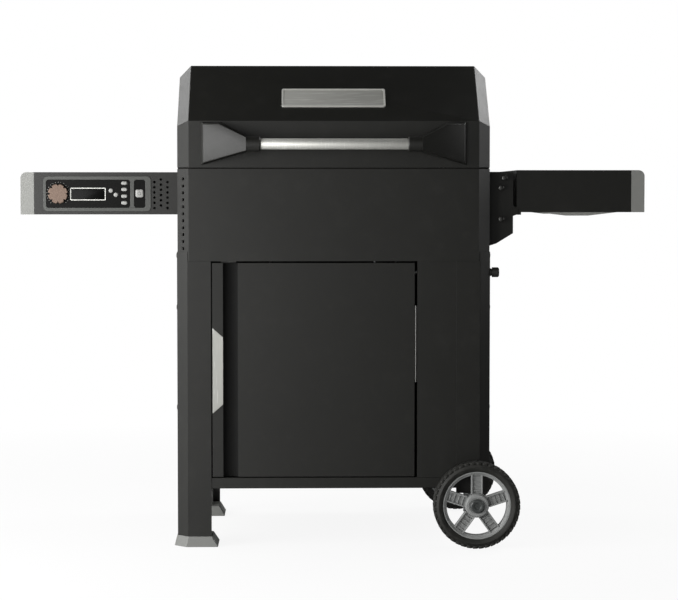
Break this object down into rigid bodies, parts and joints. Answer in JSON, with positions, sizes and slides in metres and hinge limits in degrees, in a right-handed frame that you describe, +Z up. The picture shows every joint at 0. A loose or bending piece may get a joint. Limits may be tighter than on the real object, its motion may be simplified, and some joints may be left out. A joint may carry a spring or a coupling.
{
  "type": "digital charcoal grill and smoker cart",
  "caption": "Wheeled cabinet grill and smoker with a faceted hinged lid, digital control shelf, folding side shelf, front door and ash damper.",
  "frame": {"origin": "centre of the footprint on the floor", "axes": "+Z up, front faces -Y, control shelf at -X, folding shelf and wheels at +X"},
  "size_m": [1.452, 0.6879, 1.117],
  "materials": {
    "black_paint": "satin",
    "inner_enamel": "gloss",
    "stainless": "brushed",
    "bare_steel": "satin",
    "cast_grates": "rough",
    "grey_plastic": "matte",
    "black_plastic": "matte",
    "bezel_plastic": "satin",
    "gloss_black": "gloss",
    "button_grey": "satin",
    "copper_dial": "satin",
    "rim_plastic": "satin",
    "tyre_rubber": "matte",
    "seal_fibre": "matte",
    "board_green": "satin"
  },
  "bodies": {
    "cart": {"air_duct": "bare_steel", "ash_bin": "bare_steel", "axle": "bare_steel", "axle_hardware": "bare_steel", "blower": "black_plastic", "bottom_shelf": "black_paint", "cabinet_panels": "black_paint", "charcoal_basket": "bare_steel", "circuit_board": "board_green", "control_bezel": "bezel_plastic", "control_face": "gloss_black", "cooking_grates": "cast_grates", "damper_and_bin_rails": "bare_steel", "display": "gloss_black", "door_frame_hardware": "bare_steel", "feet": "grey_plastic", "firebox_floor": "inner_enamel", "firebox_walls": "black_paint", "heat_plates": "bare_steel", "igniter": "bare_steel", "left_legs": "black_paint", "left_shelf_end_cap": "grey_plastic", "left_shelf_fascia": "black_paint", "left_shelf_housing": "black_paint", "lid_hinge_frame_leaves": "bare_steel", "power_inlet": "black_plastic", "right_legs": "black_paint", "rim_gasket": "seal_fibre", "rod_bushing": "black_plastic", "screws": "bare_steel", "shelf_brackets": "black_paint", "temperature_probe": "bare_steel", "warming_rack": "bare_steel"},
    "lid": {"lid_wrap": "black_paint", "lid_ends": "black_paint", "lid_hinge_leaves": "bare_steel", "badge_plate": "stainless", "handle_arms": "black_paint", "handle_bar": "stainless"},
    "door": {"door_panel": "black_paint", "door_pull_plate": "stainless", "door_hinge_leaf": "bare_steel"},
    "folding_shelf": {"right_shelf": "black_paint", "right_shelf_end_cap": "grey_plastic", "right_shelf_braces": "grey_plastic"},
    "front_wheel": {"front_rim": "rim_plastic", "front_tyre": "tyre_rubber"},
    "rear_wheel": {"rear_rim": "rim_plastic", "rear_tyre": "tyre_rubber"},
    "damper": {"ash_damper": "bare_steel", "damper_knob": "black_plastic"},
    "control_dial": {"dial": "copper_dial"},
    "fan": {"fan_wheel": "black_plastic"},
    "round_button_1": {"round_button_1": "button_grey"},
    "round_button_2": {"round_button_2": "button_grey"},
    "oval_button_1": {"oval_button_1": "button_grey"},
    "oval_button_2": {"oval_button_2": "button_grey"},
    "oval_button_3": {"oval_button_3": "button_grey"},
    "oval_button_4": {"oval_button_4": "button_grey"},
    "power_button": {"power_button": "button_grey"}
  },
  "joints": [
    {"name": "lid_hinge", "type": "hinge", "parent": "cart", "child": "lid", "pos_m": [0, 0.292, 0.874], "axis": [-1, 0, 0], "range_deg": [0, 88]},
    {"name": "door_hinge", "type": "hinge", "parent": "cart", "child": "door", "pos_m": [0.1895, -0.27, 0.16], "axis": [0, 0, 1], "range_deg": [0, 105]},
    {"name": "shelf_fold", "type": "hinge", "parent": "cart", "child": "folding_shelf", "pos_m": [0.424, 0.006, 0.776], "axis": [0, 1, 0], "range_deg": [0, 90]},
    {"name": "front_wheel_spin", "type": "hinge", "parent": "cart", "child": "front_wheel", "pos_m": [0.328, -0.3, 0.1], "axis": [0, 1, 0], "continuous": true},
    {"name": "rear_wheel_spin", "type": "hinge", "parent": "cart", "child": "rear_wheel", "pos_m": [0.328, 0.312, 0.1], "axis": [0, 1, 0], "continuous": true},
    {"name": "damper_pull", "type": "slide", "parent": "cart", "child": "damper", "axis": [1, 0, 0], "range_m": [0, 0.025]},
    {"name": "dial_turn", "type": "hinge", "parent": "cart", "child": "control_dial", "pos_m": [-0.6385, -0.214, 0.816], "axis": [0, 1, 0], "continuous": true},
    {"name": "fan_spin", "type": "hinge", "parent": "cart", "child": "fan", "pos_m": [-0.401, -0.064, 0.811], "axis": [0, 1, 0], "continuous": true},
    {"name": "round_button_1_press", "type": "slide", "parent": "cart", "child": "round_button_1", "axis": [0, 1, 0], "range_m": [0, 0.001], "stiffness_N_per_m": 400, "springref_m": -0.0005},
    {"name": "round_button_2_press", "type": "slide", "parent": "cart", "child": "round_button_2", "axis": [0, 1, 0], "range_m": [0, 0.001], "stiffness_N_per_m": 400, "springref_m": -0.0005},
    {"name": "oval_button_1_press", "type": "slide", "parent": "cart", "child": "oval_button_1", "axis": [0, 1, 0], "range_m": [0, 0.001], "stiffness_N_per_m": 400, "springref_m": -0.0005},
    {"name": "oval_button_2_press", "type": "slide", "parent": "cart", "child": "oval_button_2", "axis": [0, 1, 0], "range_m": [0, 0.001], "stiffness_N_per_m": 400, "springref_m": -0.0005},
    {"name": "oval_button_3_press", "type": "slide", "parent": "cart", "child": "oval_button_3", "axis": [0, 1, 0], "range_m": [0, 0.001], "stiffness_N_per_m": 400, "springref_m": -0.0005},
    {"name": "oval_button_4_press", "type": "slide", "parent": "cart", "child": "oval_button_4", "axis": [0, 1, 0], "range_m": [0, 0.001], "stiffness_N_per_m": 400, "springref_m": -0.0005},
    {"name": "power_button_press", "type": "slide", "parent": "cart", "child": "power_button", "axis": [0, 1, 0], "range_m": [0, 0.001], "stiffness_N_per_m": 400, "springref_m": -0.0005}
  ]
}
